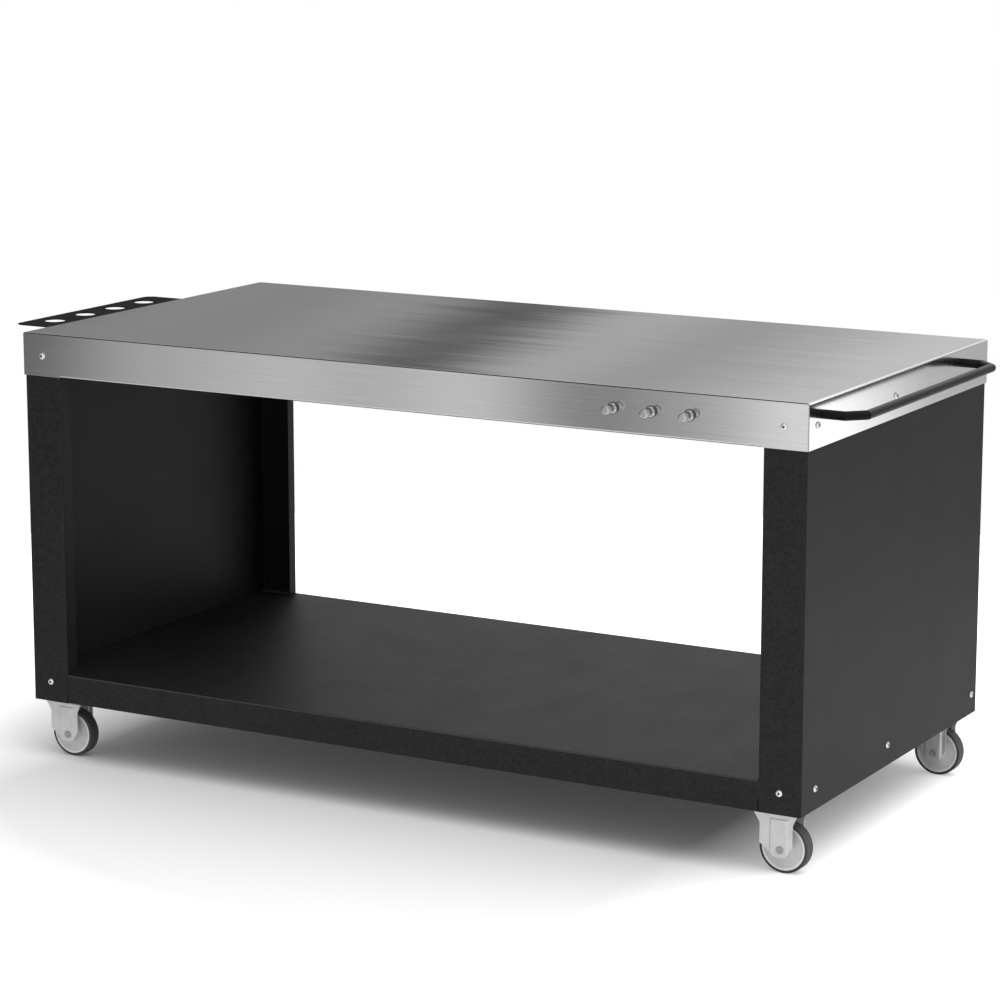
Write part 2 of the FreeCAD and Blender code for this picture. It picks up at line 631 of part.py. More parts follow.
def castor_pieces():
    return {"top_cap": top_cap(), "kingpin": kingpin(), "balls": balls(), "fork": fork(),
            "bush": bush(), "axle": axle(), "wheel": wheel(), "tyre": tyre()}


def castor_place(corner):
    column, end = CORNERS[corner]
    return V(CASTOR_X[column], end * CASTOR_Y, 0)


def stem_nuts():
    piece = nut(STEM_NUT_FLATS, KINGPIN_R + THREAD_PLAY, STEM_NUT_H)
    lift = V(0, 0, BASE_TOP)
    return group([stand_on(piece, castor_place(corner) + lift, V(0, 0, -1)) for corner in CORNERS])


def model():
    pieces = {"worktop": worktop(), "shelf": shelf()}
    for name, y in zip(("front", "middle", "rear"), TOP_HAT_Y):
        pieces["top_stiffener_" + name] = hat_stiffener(y, TOP_UNDERSIDE, TOP_HAT_DEPTH, TOP_HAT_LENGTH)
    for name, y in zip(("front", "rear"), SHELF_HAT_Y):
        pieces["shelf_stiffener_" + name] = hat_stiffener(y, SHELF_UNDERSIDE, SHELF_HAT_DEPTH,
                                                          SHELF_HAT_LENGTH)
    casing = side_casing()
    pieces["side_casing_right"] = finish_casing(casing, 1)
    pieces["side_casing_left"] = finish_casing(mirrored(casing, V(1, 0, 0)), -1)
    pieces["base_channel_right"] = base_channel(1)
    pieces["base_channel_left"] = base_channel(-1)

    apron_stack = (CASING_GAP_Y + CASING_SHEET, CASING_GAP_X + CASING_SHEET)
    foot_stack = (CASING_SHEET + CHANNEL_SHEET, CASING_SHEET + CHANNEL_SHEET)
    peg_stack = (TOP_SHEET, TOP_SHEET)
    rack_stack = (0, RACK_SHEET + CASING_GAP_X + CASING_SHEET)
    pieces["apron_screws"] = screws_on(apron_seats())
    pieces["apron_nuts"] = nuts_behind(apron_seats(), apron_stack)
    pieces["casing_screws"] = screws_on(casing_seats())
    pieces["casing_nuts"] = nuts_behind(casing_seats(), foot_stack)

    for i, x in enumerate(PEG_X):
        pieces["hook_peg_%d" % (i + 1)] = hook_peg(x)
    pieces["hook_peg_nuts"] = nuts_behind(peg_seats(), peg_stack)

    pieces["handle_bar"] = handle_bar()
    pieces["handle_end_plugs"] = handle_end_plugs()
    pieces["handle_backing_plates"] = handle_backing_plates()
    pieces["handle_bolts"] = handle_bolts()

    pieces["tool_rack"] = tool_rack()
    pieces["tool_rack_screws"] = screws_on(rack_seats(), SCREW_LENGTH + RACK_SHEET)
    pieces["tool_rack_nuts"] = nuts_behind(rack_seats(), rack_stack)

    castor = castor_pieces()
    for corner in CORNERS:
        for name, shape in castor.items():
            pieces["castor_%s_%s" % (corner, name)] = shape.translated(castor_place(corner))
    pieces["castor_stem_nuts"] = stem_nuts()
    return pieces


os.makedirs("parts", exist_ok=True)
for node, shape in model().items():
    if not shape.isValid():
        raise ValueError("%s isn't a valid shape" % node)
    shape.exportStep(os.path.join("parts", node + ".step"))
    print(node, len(shape.Solids), "solids", round(shape.Volume / 1000, 1), "cm3")
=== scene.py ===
import json
from math import cos, pi, radians, sin

import bmesh
import bpy
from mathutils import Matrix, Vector


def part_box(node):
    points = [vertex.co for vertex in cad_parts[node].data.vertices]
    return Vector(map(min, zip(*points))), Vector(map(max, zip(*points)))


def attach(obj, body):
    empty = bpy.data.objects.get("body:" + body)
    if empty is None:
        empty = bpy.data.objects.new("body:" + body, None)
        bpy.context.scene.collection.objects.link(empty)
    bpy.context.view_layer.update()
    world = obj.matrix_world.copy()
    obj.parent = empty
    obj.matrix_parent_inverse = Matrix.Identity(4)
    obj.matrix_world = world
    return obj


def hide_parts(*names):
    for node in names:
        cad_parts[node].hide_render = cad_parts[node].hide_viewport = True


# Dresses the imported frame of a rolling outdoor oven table: brushed stainless worktop, black powder
# coated casings and shelf, zinc plated castors with moulded wheels, turned hook pegs and screws.
# Metres, and millimetres where a heading says so. +X points to the handle end, +Y to the back, +Z up.

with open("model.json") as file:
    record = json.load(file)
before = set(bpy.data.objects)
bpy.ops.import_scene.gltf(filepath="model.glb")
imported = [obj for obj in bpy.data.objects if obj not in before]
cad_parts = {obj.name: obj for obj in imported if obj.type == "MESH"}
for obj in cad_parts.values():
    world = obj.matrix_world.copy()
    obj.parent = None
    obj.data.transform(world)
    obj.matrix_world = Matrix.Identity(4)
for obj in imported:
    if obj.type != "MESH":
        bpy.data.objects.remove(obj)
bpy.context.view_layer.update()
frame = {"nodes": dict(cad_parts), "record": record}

MM = 0.001
CORNERS = ("front_left", "front_right", "rear_left", "rear_right")
FRONT = Vector((0, -1, 0))
UP = Vector((0, 0, 1))
DOWN = Vector((0, 0, -1))

# The camera stands at the front right, a little above the worktop
CAMERA_PLACE = (2.976, -5.289, 1.740)
CAMERA_TURN = radians(29.40)
CAMERA_PITCH = radians(11.46)
CAMERA_LENS = 119.3
CAMERA_SENSOR = 36.0

# Floor, with the stretches over which the shadow runs out all round, past the ends and at the back
FLOOR_RADIUS = 2.4
FLOOR_CORNERS = 128
FLOOR_TONE = 0.80
SHADOW_ROUND = (0.95, 1.7)
SHADOW_MIDDLE_X = -0.10
SHADOW_ENDS = (0.62, 1.10)
SHADOW_BACK = (0.25, 0.75)
SHADOW_GLOW = 0.03
EDGE_GLOW = 0.8

# Light
WHITE = (1, 1, 1, 1)
SKY_STRENGTH = 0.62
LAMP_SIZE = (4.4, 3.6)
LAMP_PLACE = (1.25, -0.35, 3.2)
LAMP_POWER = 130.0

# Screens that the metal mirrors, each a row of places, from 0 to 1 over all directions, with their tones
SCREENS_BEHIND = ((0.0, 0.16), (0.198, 0.24), (0.209, 0.33), (0.220, 0.26), (0.240, 0.40), (0.2495, 0.05),
                  (0.2580, 0.04), (0.268, 0.58), (0.276, 0.50), (0.289, 0.34), (0.298, 0.46), (0.320, 0.72),
                  (0.34, 0.50), (0.37, 0.42), (0.45, 1.2), (0.60, 1.5), (1.0, 0.80))
SCREENS_BEFORE = ((0.0, 0.14), (0.198, 0.18), (0.2127, 0.58), (0.231, 0.76), (0.2405, 0.64), (0.254, 0.86),
                  (0.270, 0.29), (0.2847, 0.51), (0.298, 1.08), (1.0, 0.80))
SCREENS_BESIDE = ((0.0, 0.25), (0.60, 0.30), (0.93, 0.38), (0.946, 0.60), (0.950, 2.2), (0.9535, 1.4),
                  (0.9575, 0.60), (1.0, 0.35))

# How the screens behind lean, and the stretches of direction where one set of screens takes over
SCREEN_LEAN = 1.75
SCREEN_LEVEL = 0.1494
BEFORE_TO_BEHIND = (-0.15, 0.15)
LEFT_TO_RIGHT = (0.1, 0.25)

# Overhead the screens are dimmer, and a gap between them darkens the worktop's front bend
OVERHEAD = (0.45, 0.75)
OVERHEAD_TONE = 0.62
GAP_ACROSS = (-0.66, -0.60, -0.38, -0.32)
GAP_DEEP = (-0.60, -0.52, 0.62, 0.72)
GAP_RISE = (0.48, 0.56)
GAP_TONE = 0.04

# Screws and nuts, in millimetres. Each row of a thread's form is a share of its pitch and the depth cut
# there, and a nut's rim and bevel are shares of its width
SCREW_R = 3.0
SCREW_LENGTH = 12.0
RACK_SCREW_LENGTH = 14.0
SCREW_PITCH = 1.0
THREAD_DEPTH = 0.5
THREAD_FORM = ((0.3, THREAD_DEPTH), (0.5, THREAD_DEPTH), (0.9, 0.0), (1.0, 0.0))
PLAIN_SHANK = 1.0
TIP_TAPER = 0.9
HEAD_R = 6.2
HEAD_H = 3.4
HEAD_FLAT_R = 0.46 * HEAD_R
HEAD_RIM_H = 0.5
HEAD_BEVEL = 0.25
DOME_STEPS = 6
SOCKET_FLATS = 4.0
SOCKET_DEPTH = 2.0
SOCKET_POINT = 0.7
SOCKET_FLOOR_GAP = 0.05
SOCKET_FLARE = 0.45
SOCKET_FLARE_H = 0.25
NUT_FLATS = 10.0
NUT_H = 5.5
NUT_RIM = 0.97
NUT_BEVEL = 0.055
NUT_MOUTH = 0.4
NUT_MOUTH_H = 0.5
THREAD_PLAY = 0.05
STEM_R = 6.0
STEM_NUT_FLATS = 19.0
STEM_NUT_H = 10.0
STEM_NUT_Z = 117.0

# Sheets that the screws hold together, and gaps between them, in millimetres
TOP_SHEET = 1.5
RACK_SHEET = 1.5
CASING_SHEET = 2.0
CHANNEL_SHEET = 2.5
END_GAP = 2.6
FRONT_GAP = 2.5

# Places of the screws, in metres
APRON_SCREW_X = 0.756
APRON_SCREW_Z = 0.778
END_SCREW_Z = 0.779
RIGHT_SCREW_Y = (-0.363, -0.033, 0.363)
LEFT_SCREW_Y = (-0.363, 0.363)
FOOT_SCREW_X = 0.7575
FOOT_SCREW_Y = (-0.342, -0.030, 0.370)
FOOT_SCREW_Z = 0.153
RACK_SCREW_Y = (-0.196, -0.033, 0.144)

# Hook pegs, in millimetres. Each row of a neck is how much wider than its waist it is, and how high up
PEG_REACH = 30.0
PEG_COLLAR_R = 10.5
PEG_COLLAR_H = 4.0
PEG_COLLAR_EDGE = 1.0
PEG_COLLAR_BEVEL = 0.2
PEG_NECK_R = 5.0
PEG_HEAD_R = 8.0
PEG_HEAD_H = 8.0
PEG_HEAD_Z = PEG_REACH - PEG_HEAD_H
PEG_FACE_R = 4.8
PEG_CHEEK = 2.6
PEG_BACK_EDGE = 1.2
PEG_NECK = ((1.5, PEG_HEAD_Z), (1.1, PEG_HEAD_Z - 0.6), (0.35, PEG_HEAD_Z - 3), (0.0, PEG_HEAD_Z / 2 + 3),
            (0.0, PEG_HEAD_Z / 2), (0.3, PEG_COLLAR_H + 4), (0.9, PEG_COLLAR_H + 1.4),
            (1.9, PEG_COLLAR_H + 0.3), (2.6, PEG_COLLAR_H))
PEG_TIP = 0.8
PEG_TIP_H = 1.0

# Castors, in millimetres. Each row of a slope or a dimple is a radius and a height
CASTOR_X = {"left": -752.0, "right": 738.0}
CASTOR_Y = {"front": -344.0, "rear": 344.0}
TRAIL = 10.0
WHEEL_R = 45.0
TREAD_HALF = 13.0
TREAD_EDGE = 3.0
TREAD_FOOT = 0.3
RIM_R = 40.0
RIM_HALF = 12.5
RIM_EDGE = 0.6
RIM_SLOPE = ((36.0, RIM_HALF - 0.4), (36.6, RIM_HALF))
KEY_R = 38.0
KEY_HALF = 4.0
DISH_HALF = 10.5
DISH_SLOPE = ((33.2, DISH_HALF), (34.2, DISH_HALF + 0.25), (35.0, DISH_HALF + 0.9))
HUB_R = 15.0
HUB_HALF = 22.0
HUB_EDGE = 1.0
HUB_FILLET = 3.0
HUB_BORE_R = 6.05
HUB_MOUTH = 0.4
AXLE_R = 4.0
AXLE_FACE = 27.0
AXLE_HEAD_R = 7.0
AXLE_HEAD_H = 2.4
AXLE_END = AXLE_FACE + AXLE_HEAD_H
AXLE_HEAD_EDGE = 1.4
AXLE_DIMPLE = ((0.0, AXLE_END - 1.2), (2.2, AXLE_END - 1.15), (3.0, AXLE_END - 0.3), (3.5, AXLE_END))

# Where a finish changes over a turned piece or a bend: the radii, heights or slopes that it takes. It is
# painted shade on a peg's collar and in a screw's socket, and a painted highlight on a wheel's rim and on
# bends
COLLAR_SHADE_RIM = (8.4 * MM, 9.4 * MM)
COLLAR_SHADE_FACE = (4.2 * MM, 4.6 * MM)
SOCKET_SHADE_WALL = (2.1 * MM, 2.7 * MM)
SOCKET_SHADE_FOOT = 0.5 * MM
WHEEL_RIM_HIGHLIGHT = (35.0 * MM, 37.0 * MM)
TREAD_TOP = (43.6 * MM, 45.0 * MM)
# Painted highlight on the coat's bends: how far up they face
BEND_HIGHLIGHT_FACING_UP = (0.15, 0.45, 0.80, 0.97)

# How close points are merged, how thin a face is dropped, and how sharp an edge stays
SEAM_REACH = 0.001 * MM
MERGE_REACH = 0.0005 * MM
SLIVER = 0.0001 * MM
CREASE = radians(35)


# Node trees

def add(tree, kind, sockets=None, **settings):
    """Add a node. sockets gives each input, by name or number, a value or another node's output."""
    node = tree.nodes.new(kind)
    for name, value in settings.items():
        setattr(node, name, value)
    for name, value in (sockets or {}).items():
        if isinstance(value, bpy.types.NodeSocket):
            tree.links.new(value, node.inputs[name])
        else:
            node.inputs[name].default_value = value
    return node


def calc(tree, operation, *values):
    """One step of arithmetic on numbers."""
    return add(tree, "ShaderNodeMath", dict(enumerate(values)), operation=operation).outputs[0]


def aim(tree, operation, *vectors):
    """One step of arithmetic on vectors."""
    return add(tree, "ShaderNodeVectorMath", dict(enumerate(vectors)), operation=operation).outputs[0]


def axes(tree, vector):
    """The three numbers of a vector."""
    return add(tree, "ShaderNodeSeparateXYZ", {0: vector}).outputs


def joined(tree, x, y, z):
    """A vector from three numbers."""
    return add(tree, "ShaderNodeCombineXYZ", {0: x, 1: y, 2: z}).outputs[0]


def between(tree, value, low, high, start=0.3, end=0.7):
    """Carry a value from the range start to end, at first a noise's usual one, into low to high."""
    return add(tree, "ShaderNodeMapRange", {"Value": value, "From Min": start, "From Max": end,
                                            "To Min": low, "To Max": high}).outputs[0]


def window(tree, value, start, opened, closing, end):
    """A share that rises from 0 to 1 between start and opened, and falls again between closing and end."""
    return calc(tree, "MULTIPLY", between(tree, value, 0, 1, start, opened),
                between(tree, value, 1, 0, closing, end))


def mixed(tree, first, share, second):
    """A share of the first number and the rest of the second."""
    return calc(tree, "ADD", calc(tree, "MULTIPLY", first, share),
                calc(tree, "MULTIPLY", second, 1 - share))


def tint(tree, share, first, second):
    """A colour between two, each given as three numbers or as a node's output."""
    ends = [(*colour, 1) if isinstance(colour, tuple) else colour for colour in (first, second)]
    return add(tree, "ShaderNodeMix", {0: share, 6: ends[0], 7: ends[1]}, data_type="RGBA").outputs[2]


def either(tree, share, first, second):
    """The first vector where the share is 0, and the second where it is 1."""
    return add(tree, "ShaderNodeMix", {0: share, 4: first, 5: second}, data_type="VECTOR").outputs[1]


def grey(tone):
    """A plain grey as a colour."""
    return (tone, tone, tone)


def empty_tree(owner):
    """The node tree of a material or a world, cleared."""
    owner.use_nodes = True
    owner.node_tree.nodes.clear()
    return owner.node_tree


# Finishes

def blank_finish(name, metallic=0.0):
    """A material with its shader, its node tree and the place on the piece."""
    material = bpy.data.materials.new(name)
    tree = empty_tree(material)
    shader = add(tree, "ShaderNodeBsdfPrincipled", {"Metallic": metallic})
    add(tree, "ShaderNodeOutputMaterial", {"Surface": shader.outputs[0]})
    return material, tree, shader, add(tree, "ShaderNodeTexCoord").outputs["Object"]


def facing_way(tree):
    """The way that the surface faces, in the piece's own axes."""
    return axes(tree, add(tree, "ShaderNodeTexCoord").outputs["Normal"])


def lathe_place(tree):
    """The radius, the way round and the height that the lathe tree has marked on a turned piece."""
    return add(tree, "ShaderNodeAttribute", attribute_name="lathe").outputs["Vector"]


def grains(tree, place, per_metre, detail=2.0):
    """Soft noise with so many grains per metre, alike in all directions or one number for each axis."""
    if isinstance(per_metre, (int, float)):
        per_metre = (per_metre,) * 3
    spread = add(tree, "ShaderNodeMapping", {"Vector": place, "Scale": per_metre}).outputs[0]
    return add(tree, "ShaderNodeTexNoise", {"Vector": spread, "Scale": 1.0, "Detail": detail}).outputs[0]


def relief(tree, height, depth, under=None):
    """A bump of so many metres, laid on another bump where there is one."""
    sockets = {"Height": height, "Distance": depth, "Strength": 1.0}
    if under:
        sockets["Normal"] = under
    return add(tree, "ShaderNodeBump", sockets).outputs[0]


def dress(tree, shader, colour, roughness, normal):
    """Join a finish's three patterns to its shader."""
    tree.links.new(colour, shader.inputs["Base Color"])
    tree.links.new(roughness, shader.inputs["Roughness"])
    tree.links.new(normal, shader.inputs["Normal"])


def brushed_stainless():
    """Sheet brushed along its length, and along its depth on the end aprons."""
    material, tree, shader, place = blank_finish("brushed_stainless", metallic=1.0)
    facing = facing_way(tree)
    at_end = calc(tree, "GREATER_THAN", calc(tree, "ABSOLUTE", facing[0]), 0.5)
    on_top = calc(tree, "GREATER_THAN", facing[2], 0.5)
    x, y, z = axes(tree, place)
    along = either(tree, at_end, place, joined(tree, y, x, z))
    hairs = grains(tree, along, (9, 1500, 1500), detail=3.0)
    strokes = grains(tree, along, (2.2, 420, 420))
    waves = grains(tree, along, (0.9, 12, 12))
    smudges = grains(tree, place, 7)
    lines = mixed(tree, hairs, 0.5, strokes)
    rough = calc(tree, "ADD", between(tree, lines, 0.085, 0.115), between(tree, smudges, -0.006, 0.010))
    rough = calc(tree, "MULTIPLY", rough, between(tree, on_top, 1.0, 0.55, 0, 1))
    dress(tree, shader, tint(tree, between(tree, lines, 0, 1), grey(0.57), grey(0.66)), rough,
          relief(tree, hairs, 0.001 * MM, under=relief(tree, waves, 0.16 * MM)))
    grain_way = either(tree, at_end, (1, 0, 0), (0, 1, 0))
    outward = add(tree, "ShaderNodeNewGeometry").outputs["Normal"]
    across_grain = aim(tree, "CROSS_PRODUCT", outward, grain_way)
    tree.links.new(either(tree, on_top, across_grain, grain_way), shader.inputs["Tangent"])
    shader.inputs["Anisotropic"].default_value = 0.9
    return material


def turned_stainless():
    """Steel off the lathe: fine rings along the radius and the length, and painted shade on a peg's collar
    rim.
    """
    material, tree, shader, place = blank_finish("turned_stainless", metallic=1.0)
    lathe = lathe_place(tree)
    radius, _, height = axes(tree, lathe)
    # Painted shade: the collar's rim is darkened to grey 0.10
    painted_collar_shade = calc(tree, "MULTIPLY", between(tree, radius, 0, 1, *COLLAR_SHADE_RIM),
                     between(tree, height, 1, 0, *COLLAR_SHADE_FACE))
    rings = grains(tree, lathe, (2600, 60, 2600), detail=3.0)
    clouds = grains(tree, place, 160)
    bright = tint(tree, between(tree, rings, 0, 1), grey(0.50), grey(0.60))
    dress(tree, shader, tint(tree, painted_collar_shade, bright, grey(0.10)),
          calc(tree, "ADD", between(tree, rings, 0.08, 0.13), between(tree, clouds, -0.01, 0.02)),
          relief(tree, rings, 0.02 * MM))
    return material


def powder_coat(name, dark, light, bend, rough, texture, shine):
    """Black powder coat: a fine orange peel, coarse flecks, a faint unevenness, and a painted highlight, a
    lighter tone of its own, on bends that face up."""
    material, tree, shader, place = blank_finish(name)
    peel = grains(tree, place, 700, detail=3.0)
    flecks = grains(tree, place, 210)
    patches = grains(tree, place, 9)
    share = mixed(tree, flecks, 0.85, patches)
    coat = tint(tree, between(tree, share, 0, 1, 0.40, 0.60), dark, light)
    # Painted highlight: bends that face up take the lighter tone given as bend
    painted_bend_highlight = window(tree, facing_way(tree)[2], *BEND_HIGHLIGHT_FACING_UP)
    uneven = calc(tree, "ADD", between(tree, flecks, -0.05, 0.04), between(tree, patches, -0.02, 0.02))
    dress(tree, shader, tint(tree, painted_bend_highlight, coat, grey(bend)), calc(tree, "ADD", uneven, rough),
          relief(tree, peel, texture, under=relief(tree, flecks, texture)))
    shader.inputs["Specular IOR Level"].default_value = shine
    return material


def galvanised_sheet():
    """Zinc spangle: flat crystals, each with its own tone and gloss."""
    material, tree, shader, place = blank_finish("galvanised_sheet", metallic=0.9)
    wander = add(tree, "ShaderNodeTexNoise", {"Vector": place, "Scale": 60.0}).outputs[1]
    warped = aim(tree, "ADD", place, wander)
    crystal = add(tree, "ShaderNodeTexVoronoi", {"Vector": warped, "Scale": 110.0}).outputs["Color"]
    tone = add(tree, "ShaderNodeSeparateColor", {0: crystal}).outputs[0]
    frost = grains(tree, place, 1200)
    dress(tree, shader, tint(tree, tone, (0.40, 0.415, 0.43), (0.52, 0.53, 0.54)),
          calc(tree, "ADD", calc(tree, "MULTIPLY", tone, 0.14), 0.38), relief(tree, frost, 0.01 * MM))
    return material


def zinc_plate(name, dark, light, rough):
    """Bright zinc plate over pressed steel, with faint drawing marks and a soft bloom."""
    material, tree, shader, place = blank_finish(name, metallic=0.5)
    marks = grains(tree, place, (500, 500, 60), detail=3.0)
    bloom = grains(tree, place, 55)
    share = mixed(tree, marks, 0.4, bloom)
    dress(tree, shader, tint(tree, between(tree, share, 0, 1), dark, light),
          calc(tree, "ADD", between(tree, marks, -0.03, 0.04), rough), relief(tree, marks, 0.02 * MM))
    return material


def polished_steel():
    """Bright screws with painted shade darkening their sockets, and bright balls."""
    material, tree, shader, place = blank_finish("polished_steel", metallic=0.85)
    radius, _, height = axes(tree, lathe_place(tree))
    # Painted shade: inside the socket the steel is darkened to grey 0.10
    painted_socket_shade = calc(tree, "MULTIPLY", between(tree, radius, 1, 0, *SOCKET_SHADE_WALL),
                     calc(tree, "GREATER_THAN", height, SOCKET_SHADE_FOOT))
    scratches = grains(tree, place, 900, detail=3.0)
    bright = tint(tree, between(tree, scratches, 0, 1), grey(0.82), grey(0.90))
    dress(tree, shader, tint(tree, painted_socket_shade, bright, grey(0.10)), between(tree, scratches, 0.20, 0.28),
          relief(tree, scratches, 0.006 * MM))
    return material


def moulded_plastic():
    """Pale grey wheel plastic: flow marks, the fine texture of its mould, a rim painted lighter as a
    highlight.
    """
    material, tree, shader, place = blank_finish("moulded_plastic")
    painted_rim_highlight = between(tree, axes(tree, lathe_place(tree))[0], 0, 1, *WHEEL_RIM_HIGHLIGHT)
    flow = between(tree, grains(tree, place, 70, detail=3.0), 0, 1)
    texture = grains(tree, place, 2400)
    disc = tint(tree, flow, grey(0.60), grey(0.67))
    # Painted highlight: the raised rim is lighter than the disc
    rim = tint(tree, flow, grey(0.84), grey(0.88))
    dress(tree, shader, tint(tree, painted_rim_highlight, disc, rim),
          calc(tree, "ADD", calc(tree, "MULTIPLY", flow, 0.08), 0.36), relief(tree, texture, 0.02 * MM))
    return material


def tread_rubber():
    """Dark tyre rubber, dusty where it meets the floor."""
    material, tree, shader, place = blank_finish("tread_rubber")
    lathe = lathe_place(tree)
    grit = grains(tree, place, 1500, detail=3.0)
    scuffs = between(tree, grains(tree, lathe, (200, 30, 500)), 0.2, 1)
    dust = calc(tree, "MULTIPLY", between(tree, axes(tree, lathe)[0], 0, 1, *TREAD_TOP), scuffs)
    dress(tree, shader, tint(tree, dust, grey(0.045), (0.095, 0.093, 0.090)),
          between(tree, grit, 0.62, 0.78), relief(tree, grit, 0.05 * MM))
    return material


def nylon():
    """Off-white bearing nylon with a waxy bloom."""
    material, tree, shader, place = blank_finish("nylon")
    bloom = grains(tree, place, 300, detail=3.0)
    dress(tree, shader, tint(tree, between(tree, bloom, 0, 1), (0.72, 0.71, 0.67), (0.80, 0.79, 0.75)),
          between(tree, bloom, 0.35, 0.48), relief(tree, bloom, 0.02 * MM))
    shader.inputs["Subsurface Weight"].default_value = 0.1
    shader.inputs["Subsurface Scale"].default_value = 2 * MM
    return material


FINISHES = {
    "stainless": brushed_stainless(),
    "stainless_turned": turned_stainless(),
    # Each coat's bend tone is a painted highlight on its bends that face up
    "black_coat": powder_coat("black_powder_coat", dark=grey(0.007), light=(0.015, 0.015, 0.0152),
                              bend=0.05, rough=0.50, texture=0.05 * MM, shine=0.22),
    "black_rack": powder_coat("black_rack_coat", dark=grey(0.003), light=grey(0.011),
                              bend=0.02, rough=0.60, texture=0.05 * MM, shine=0.02),
    "black_tube": powder_coat("black_tube_coat", dark=grey(0.002), light=grey(0.006),
                              bend=0.008, rough=0.32, texture=0.01 * MM, shine=0.12),
    "galvanised": galvanised_sheet(),
    "zinc": zinc_plate("zinc_plate", dark=grey(0.62), light=grey(0.73), rough=0.32),
    "rivet": zinc_plate("dull_zinc_rivet", dark=grey(0.32), light=grey(0.44), rough=0.42),
    "bright_steel": polished_steel(),
    "grey_plastic": moulded_plastic(),
    "tread_rubber": tread_rubber(),
    "nylon": nylon(),
}


def dress_frame():
    """Give every node of the frame the finish of its slot. The rack's coat is duller than the casings'."""
    for entry in frame["record"]["subparts"]:
        finish = "black_rack" if entry["node"] == "tool_rack" else entry["material_slot"]
        for slot in frame["nodes"][entry["node"]].material_slots:
            slot.material = FINISHES[finish]


# Turned pieces: one lathe tree makes screws, nuts, pegs, wheels and tyres on their seats

LATHE_INPUTS = (("Seats", "NodeSocketGeometry"), ("Profile", "NodeSocketObject"), ("Steps", "NodeSocketInt"),
                ("Random turn", "NodeSocketFloat"), ("Seed", "NodeSocketInt"),
                ("Finish", "NodeSocketMaterial"))


def carried(tree, name, kind):
    """The value that each point carries under a name."""
    return add(tree, "GeometryNodeInputNamedAttribute", {"Name": name}, data_type=kind).outputs[0]


def picked(tree, geometry, value, index, kind):
    """A value of the geometry's point with the given number."""
    return add(tree, "GeometryNodeSampleIndex", {"Geometry": geometry, "Value": value, "Index": index},
               data_type=kind).outputs[0]


def spun_solid(tree, profile, steps):
    """Wrap a grid round the Z axis, each row along the profile, round or with hexagonal rings."""
    rings = add(tree, "GeometryNodeAttributeDomainSize", {0: profile}).outputs["Point Count"]
    turns = calc(tree, "ADD", steps, 1)
    net = add(tree, "GeometryNodeMeshGrid", {"Vertices X": turns, "Vertices Y": rings}).outputs["Mesh"]
    index = add(tree, "GeometryNodeInputIndex").outputs[0]
    ring = calc(tree, "MODULO", index, rings)
    step = calc(tree, "FLOOR", calc(tree, "DIVIDE", index, rings))
    angle = calc(tree, "DIVIDE", calc(tree, "MULTIPLY", step, 2 * pi), steps)
    position = add(tree, "GeometryNodeInputPosition").outputs[0]
    reach, _, height = axes(tree, picked(tree, profile, position, ring, "FLOAT_VECTOR"))
    hexagonal = picked(tree, profile, carried(tree, "hexagon", "FLOAT"), ring, "FLOAT")
    off_flat = calc(tree, "WRAP", angle, pi / 6, -pi / 6)
    corner = calc(tree, "DIVIDE", 1.0, calc(tree, "COSINE", off_flat))
    stretch = add(tree, "ShaderNodeMix", {0: hexagonal, 2: 1.0, 3: corner}, data_type="FLOAT").outputs[0]
    radius = calc(tree, "MULTIPLY", reach, stretch)
    spun = joined(tree, calc(tree, "MULTIPLY", radius, calc(tree, "COSINE", angle)),
                  calc(tree, "MULTIPLY", radius, calc(tree, "SINE", angle)), height)
    mark = joined(tree, radius, calc(tree, "MULTIPLY", angle, radius), height)
    marked = add(tree, "GeometryNodeStoreNamedAttribute", {"Geometry": net, "Name": "lathe", "Value": mark},
                 data_type="FLOAT_VECTOR").outputs[0]
    solid = add(tree, "GeometryNodeSetPosition", {"Geometry": marked, "Position": spun}).outputs[0]
    return add(tree, "GeometryNodeMergeByDistance", {"Geometry": solid, "Distance": SEAM_REACH}).outputs[0]


def lathe_tree():
    """Spin a profile into a solid, and stand one on every seat, turned by chance about its axis."""
    tree = bpy.data.node_groups.new("lathe", "GeometryNodeTree")
    for label, kind in LATHE_INPUTS:
        tree.interface.new_socket(label, in_out="INPUT", socket_type=kind)
    tree.interface.new_socket("Pieces", in_out="OUTPUT", socket_type="NodeSocketGeometry")
    given = add(tree, "NodeGroupInput").outputs
    profile = add(tree, "GeometryNodeObjectInfo", {"Object": given["Profile"]}).outputs["Geometry"]
    solid = spun_solid(tree, profile, given["Steps"])
    outward = carried(tree, "outward", "FLOAT_VECTOR")
    stand = add(tree, "FunctionNodeAlignRotationToVector", {"Vector": outward}, axis="Z").outputs[0]
    chance = add(tree, "FunctionNodeRandomValue", {"Seed": given["Seed"]}, data_type="FLOAT").outputs[1]
    angle = calc(tree, "MULTIPLY", chance, given["Random turn"])
    spin = add(tree, "FunctionNodeAxisAngleToRotation", {"Axis": UP, "Angle": angle}).outputs[0]
    pose = add(tree, "FunctionNodeRotateRotation", {"Rotation": stand, "Rotate By": spin},
               rotation_space="LOCAL").outputs[0]
    placed = add(tree, "GeometryNodeInstanceOnPoints", {
        "Points": given["Seats"], "Instance": solid, "Rotation": pose}).outputs[0]
    whole = add(tree, "GeometryNodeRealizeInstances", {"Geometry": placed}).outputs[0]
    dressed = add(tree, "GeometryNodeSetMaterial", {"Geometry": whole, "Material": given["Finish"]})
    add(tree, "NodeGroupOutput", {0: dressed.outputs[0]})
    return tree


LATHE = lathe_tree()


def put_in_scene(name, data):
    """A new object of the scene."""
    thing = bpy.data.objects.new(name, data)
    bpy.context.scene.collection.objects.link(thing)
    return thing


def points_mesh(name, points, label, kind, values):
    """Loose points that carry one value each."""
    mesh = bpy.data.meshes.new(name)
    mesh.from_pydata(points, [], [])
    layer = mesh.attributes.new(label, kind, "POINT")
    for spot, value in zip(layer.data, values):
        if kind == "FLOAT":
            spot.value = value
        else:
            spot.vector = value
    return mesh


